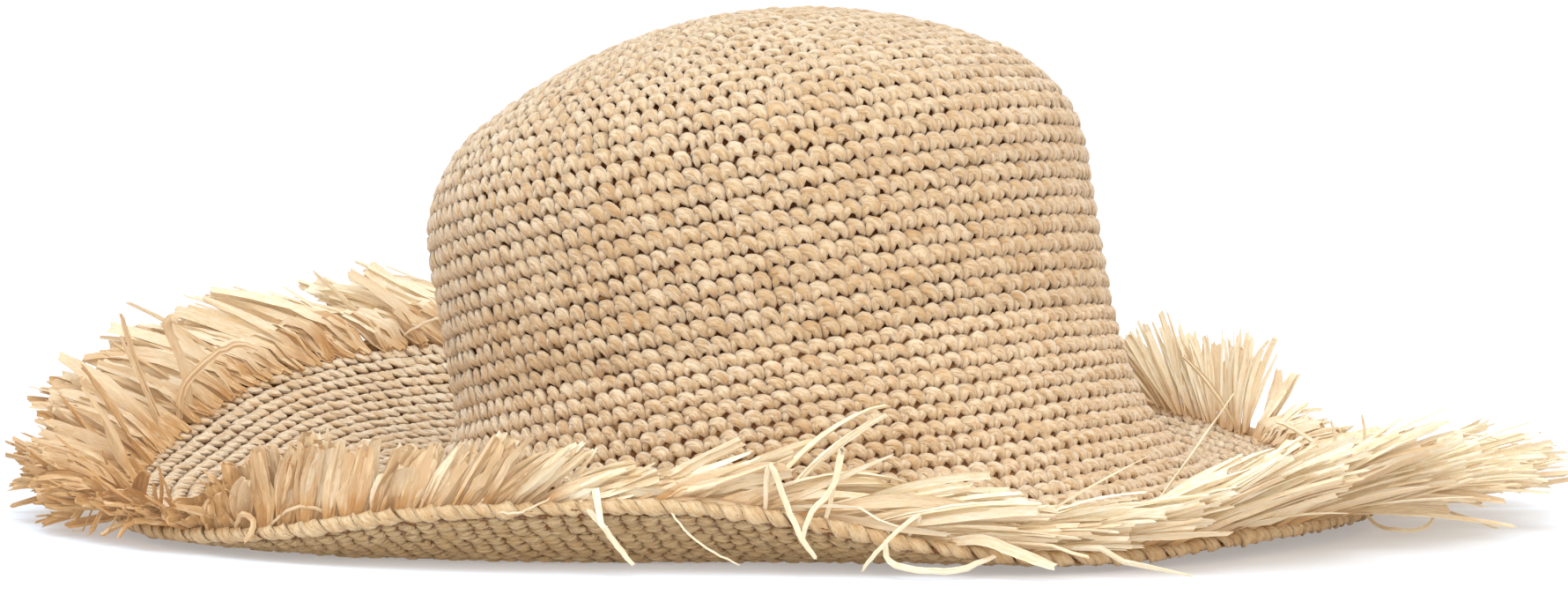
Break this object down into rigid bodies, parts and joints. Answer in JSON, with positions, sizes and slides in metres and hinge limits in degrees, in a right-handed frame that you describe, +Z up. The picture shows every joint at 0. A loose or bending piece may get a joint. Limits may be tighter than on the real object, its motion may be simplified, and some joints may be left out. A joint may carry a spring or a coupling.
{
  "type": "sun hat",
  "caption": "Crocheted raffia sun hat with a domed crown that leans, a wide wavy brim and a thick cut raffia fringe round its edge.",
  "frame": {"origin": "centre of the bounding box's bottom face, on the table that the hat lies on", "axes": "+Z up from the table; +X towards the wearer's front, which is the hat's longest extent with its fringe; +Y towards the wearer's left"},
  "size_m": [0.442, 0.3576, 0.1449],
  "materials": {
    "raffia_crown_tip": "natural raffia crocheted in close rounds, matt with a faint sheen on each strand",
    "raffia_crown_side": "natural raffia crocheted in close rounds, matt with a faint sheen on each strand",
    "raffia_brim": "natural raffia crocheted in close rounds, matt",
    "raffia_edge_round": "two raffia strands crocheted together into a chunky last round",
    "grosgrain_ribbon": "ecru cotton grosgrain, fine cross ribs",
    "grosgrain_tab": "ecru cotton grosgrain, fine cross ribs",
    "sewing_thread": "ecru polyester sewing thread",
    "raffia_fringe": "cut raffia leaf, papery and slightly glossy along the grain"
  },
  "bodies": {
    "root": {"crown_tip": "raffia_crown_tip", "crown_side": "raffia_crown_side", "brim": "raffia_brim", "edge_round": "raffia_edge_round", "sweatband": "grosgrain_ribbon", "sweatband_join": "grosgrain_tab", "sweatband_stitching": "sewing_thread", "fringe_01": "raffia_fringe", "fringe_02": "raffia_fringe", "fringe_03": "raffia_fringe", "fringe_04": "raffia_fringe", "fringe_05": "raffia_fringe", "fringe_06": "raffia_fringe", "fringe_07": "raffia_fringe", "fringe_08": "raffia_fringe", "fringe_09": "raffia_fringe", "fringe_10": "raffia_fringe", "fringe_11": "raffia_fringe", "fringe_12": "raffia_fringe", "fringe_13": "raffia_fringe", "fringe_14": "raffia_fringe", "fringe_15": "raffia_fringe", "fringe_16": "raffia_fringe", "fringe_17": "raffia_fringe", "fringe_18": "raffia_fringe", "fringe_19": "raffia_fringe", "fringe_20": "raffia_fringe", "fringe_21": "raffia_fringe", "fringe_22": "raffia_fringe", "fringe_23": "raffia_fringe", "fringe_24": "raffia_fringe", "fringe_25": "raffia_fringe", "fringe_26": "raffia_fringe", "fringe_27": "raffia_fringe", "fringe_28": "raffia_fringe", "fringe_29": "raffia_fringe", "fringe_30": "raffia_fringe"}
  },
  "joints": []
}
